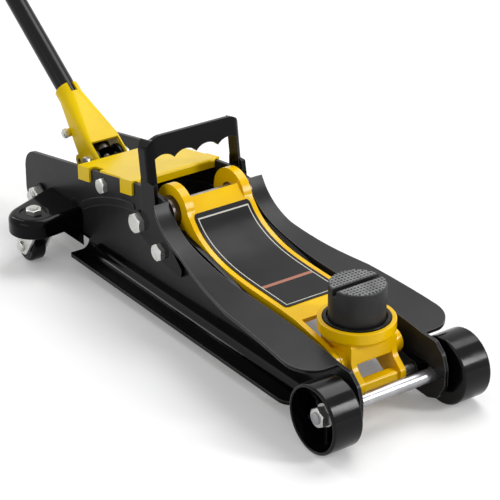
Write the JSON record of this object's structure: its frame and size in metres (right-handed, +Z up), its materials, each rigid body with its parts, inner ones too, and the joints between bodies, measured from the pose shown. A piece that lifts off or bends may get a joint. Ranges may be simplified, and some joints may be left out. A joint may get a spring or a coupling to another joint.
{
  "type": "hydraulic floor jack",
  "caption": "Low-profile hydraulic floor jack with pressed side plates, levelling lift arm, padded saddle, steel wheels, swivel casters, carry handle and a long pump handle.",
  "frame": {"origin": "middle of the whole jack's footprint, on the floor, with the handle in its low position", "axes": "+X forward from the handle to the saddle and front wheels, +Y to the jack's left, +Z up"},
  "size_m": [1.4476, 0.268, 0.7272],
  "materials": {
    "black_paint": "satin charcoal paint",
    "gloss_black": "gloss black paint",
    "yellow_paint": "gloss yellow paint",
    "zinc": "zinc plated",
    "steel": "turned steel",
    "polished_steel": "polished bar",
    "cast_black": "black painted casting",
    "wheel_black": "gloss black casting",
    "caster_black": "black nylon",
    "label": "charcoal print film",
    "pad_rubber": "matte rubber",
    "grip_rubber": "black grip",
    "bronze": "sintered bronze"
  },
  "bodies": {
    "frame": {"side_plate_left": "black_paint", "side_plate_right": "black_paint", "front_axle": "polished_steel", "axle_spacers": "gloss_black", "axle_washers": "zinc", "axle_nuts": "zinc", "carry_handle": "black_paint", "carry_handle_bolts": "zinc", "top_cover": "yellow_paint", "rear_tie_rod": "zinc", "tie_rod_washers": "gloss_black", "tie_rod_nuts": "zinc", "cross_rod": "zinc", "caster_bracket_left": "gloss_black", "caster_bracket_right": "gloss_black", "caster_studs": "zinc", "caster_nuts": "zinc", "arm_pivot_shaft": "steel", "arm_pivot_spacers": "steel", "levelling_rod_studs": "steel", "power_unit_block": "cast_black", "reservoir_tube": "gloss_black", "filler_plug": "pad_rubber", "cylinder_tube": "steel", "head_nut": "steel", "return_spring_studs": "steel", "return_springs": "zinc", "pump_spring": "zinc"},
    "arm": {"lift_arm": "yellow_paint", "arm_label": "label", "arm_bushes": "bronze", "saddle_pivot_pin": "steel"},
    "bracket": {"saddle_bracket": "yellow_paint", "levelling_pin": "steel"},
    "saddle": {"saddle": "cast_black", "rubber_pad": "pad_rubber"},
    "levelling_rods": {"levelling_rod_left": "gloss_black", "levelling_rod_right": "gloss_black"},
    "ram": {"ram": "polished_steel", "ram_head": "steel", "ram_cross_pin": "steel"},
    "socket": {"handle_socket": "yellow_paint", "socket_pivot_bolts": "zinc", "handle_retainer": "zinc", "pump_roller": "steel"},
    "plunger": {"pump_plunger": "steel"},
    "handle": {"handle_plug": "steel", "handle_lower_tube": "gloss_black", "handle_upper_tube": "gloss_black", "handle_button": "zinc", "handle_grip": "grip_rubber"},
    "spindle": {"release_spindle": "steel"},
    "wheel_left": {"front_wheel_left": "wheel_black"},
    "wheel_right": {"front_wheel_right": "wheel_black"},
    "fork_left": {"caster_fork_left": "zinc", "caster_axle_left": "zinc"},
    "fork_right": {"caster_fork_right": "zinc", "caster_axle_right": "zinc"},
    "caster_left": {"caster_wheel_left": "caster_black"},
    "caster_right": {"caster_wheel_right": "caster_black"}
  },
  "joints": [
    {"name": "lift", "type": "hinge", "parent": "frame", "child": "arm", "pos_m": [0.36931, 0, 0.118], "axis": [0, -1, 0], "range_deg": [0, 60]},
    {"name": "bracket_tilt", "type": "hinge", "parent": "arm", "child": "bracket", "pos_m": [0.64181, 0, 0.058], "axis": [0, -1, 0], "range_deg": [-60, 0]},
    {"name": "levelling", "type": "hinge", "parent": "frame", "child": "levelling_rods", "pos_m": [0.39431, 0, 0.0965], "axis": [0, -1, 0], "range_deg": [0, 60]},
    {"name": "ram_slide", "type": "slide", "parent": "frame", "child": "ram", "axis": [1, 0, 0], "range_m": [0, 0.05658], "deforming": ["return_springs"]},
    {"name": "saddle_swivel", "type": "hinge", "parent": "bracket", "child": "saddle", "pos_m": [0.63181, 0, 0.086], "axis": [0, 0, 1], "continuous": true},
    {"name": "handle_pump", "type": "hinge", "parent": "frame", "child": "socket", "pos_m": [0.16781, 0, 0.097], "axis": [0, 1, 0], "range_deg": [0, 52]},
    {"name": "pump_stroke", "type": "slide", "parent": "frame", "child": "plunger", "axis": [0, 0, 1], "range_m": [0, 0.02122], "deforming": ["pump_spring"]},
    {"name": "handle_twist", "type": "hinge", "parent": "socket", "child": "handle", "pos_m": [0.16781, 0, 0.097], "axis": [-0.8192, 0, 0.5736], "range_deg": [0, 180]},
    {"name": "release_turn", "type": "hinge", "parent": "frame", "child": "spindle", "pos_m": [0.16781, 0, 0.097], "axis": [-1, 0, 0], "range_deg": [0, 180]},
    {"name": "wheel_left_spin", "type": "hinge", "parent": "frame", "child": "wheel_left", "pos_m": [0.68781, 0.0805, 0.036], "axis": [0, 1, 0], "continuous": true},
    {"name": "caster_left_swivel", "type": "hinge", "parent": "frame", "child": "fork_left", "pos_m": [0.17981, 0.105, 0.05], "axis": [0, 0, 1], "continuous": true},
    {"name": "caster_left_spin", "type": "hinge", "parent": "fork_left", "child": "caster_left", "pos_m": [0.17081, 0.105, 0.0195], "axis": [0, 1, 0], "continuous": true},
    {"name": "wheel_right_spin", "type": "hinge", "parent": "frame", "child": "wheel_right", "pos_m": [0.68781, -0.0805, 0.036], "axis": [0, 1, 0], "continuous": true},
    {"name": "caster_right_swivel", "type": "hinge", "parent": "frame", "child": "fork_right", "pos_m": [0.17981, -0.105, 0.05], "axis": [0, 0, 1], "continuous": true},
    {"name": "caster_right_spin", "type": "hinge", "parent": "fork_right", "child": "caster_right", "pos_m": [0.17081, -0.105, 0.0195], "axis": [0, 1, 0], "continuous": true}
  ],
  "couplings": [
    {"joint": "bracket_tilt", "follows": "lift", "ratio": -1},
    {"joint": "levelling", "follows": "lift", "ratio": 1},
    {"joint": "ram_slide", "follows": "lift", "m_per_rad": 0.05403},
    {"joint": "pump_stroke", "follows": "handle_pump", "m_per_rad": 0.023379},
    {"joint": "release_turn", "follows": "handle_twist", "ratio": 1}
  ]
}
